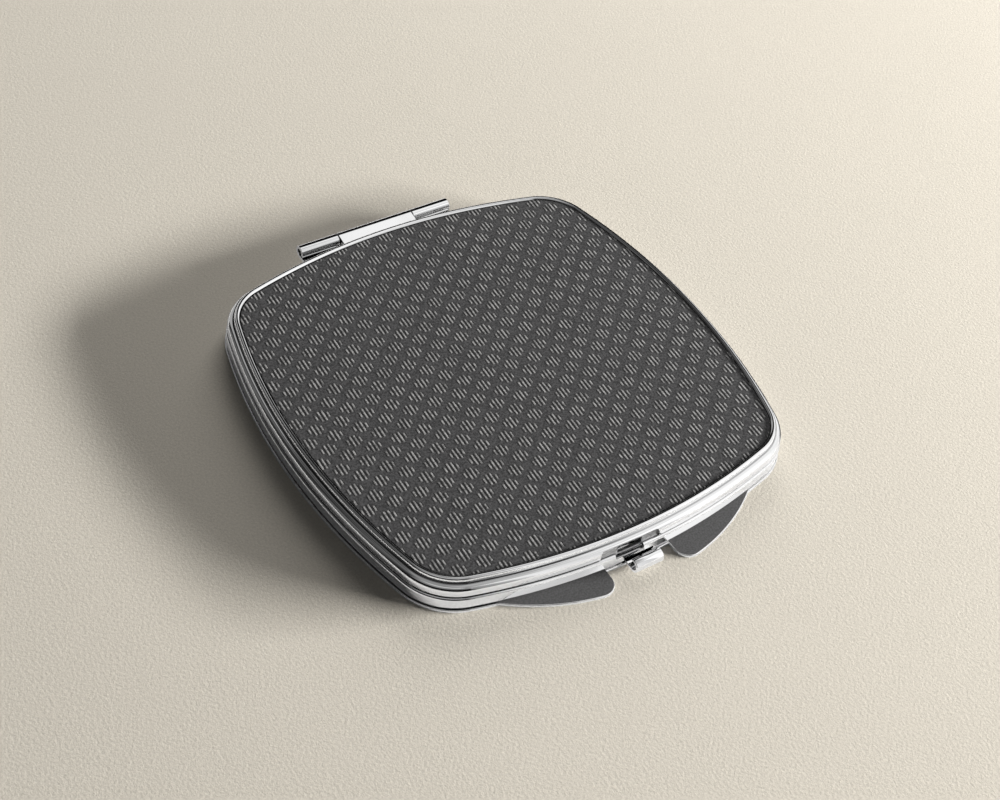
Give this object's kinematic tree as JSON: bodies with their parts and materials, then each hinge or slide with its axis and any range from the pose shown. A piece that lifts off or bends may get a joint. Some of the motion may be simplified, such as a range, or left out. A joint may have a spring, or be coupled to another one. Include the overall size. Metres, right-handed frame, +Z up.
{
  "type": "compact mirror",
  "caption": "Slim square pocket mirror with bowed sides: hinged lid with a textured panel, mirrors inside, thumb catch between finger rests.",
  "frame": {"origin": "centre of the underside, under the middle of the lid's panel", "axes": "+Z up through the closed lid, +Y towards the hinge, -Y towards the thumb catch, +X to the right seen from the catch's side"},
  "size_m": [0.064, 0.0698, 0.005],
  "materials": {
    "case_chrome": "polished",
    "hinge_chrome": "polished",
    "frame_chrome": "polished",
    "panel": "satin, with fine raised strokes in round clusters",
    "ear_facing": "satin",
    "mirror_glass": "silvered",
    "tape": "matte foam",
    "board": "matte",
    "keeper_steel": "satin",
    "pin_steel": "drawn"
  },
  "bodies": {
    "base": {"base_plate": "case_chrome", "ear_facings": "ear_facing", "base_shell": "case_chrome", "mirror_board": "board", "base_mirror_tape": "tape", "base_mirror": "mirror_glass", "base_mirror_frame": "frame_chrome", "base_hinge_leaves": "hinge_chrome", "hinge_pin": "pin_steel", "catch_bracket": "keeper_steel", "catch_pin": "pin_steel", "catch_spring": "pin_steel", "catch_rivets": "pin_steel"},
    "lid": {"lid_shell": "case_chrome", "panel_tape": "tape", "lid_panel": "panel", "lid_mirror_tape": "tape", "lid_mirror": "mirror_glass", "lid_mirror_frame": "frame_chrome", "keeper_plate": "keeper_steel", "lid_hinge_leaf": "hinge_chrome"},
    "catch": {"catch_lever": "hinge_chrome"}
  },
  "joints": [
    {"name": "lid_hinge", "type": "hinge", "parent": "base", "child": "lid", "pos_m": [0, 0.03385, 0.00248], "axis": [-1, 0, 0], "range_deg": [0, 170]},
    {"name": "catch_lift", "type": "hinge", "parent": "base", "child": "catch", "pos_m": [0, -0.0301, 0.00116], "axis": [-1, 0, 0], "range_deg": [0, 12], "stiffness_Nm_per_rad": 0.01, "springref_deg": -5.73}
  ]
}
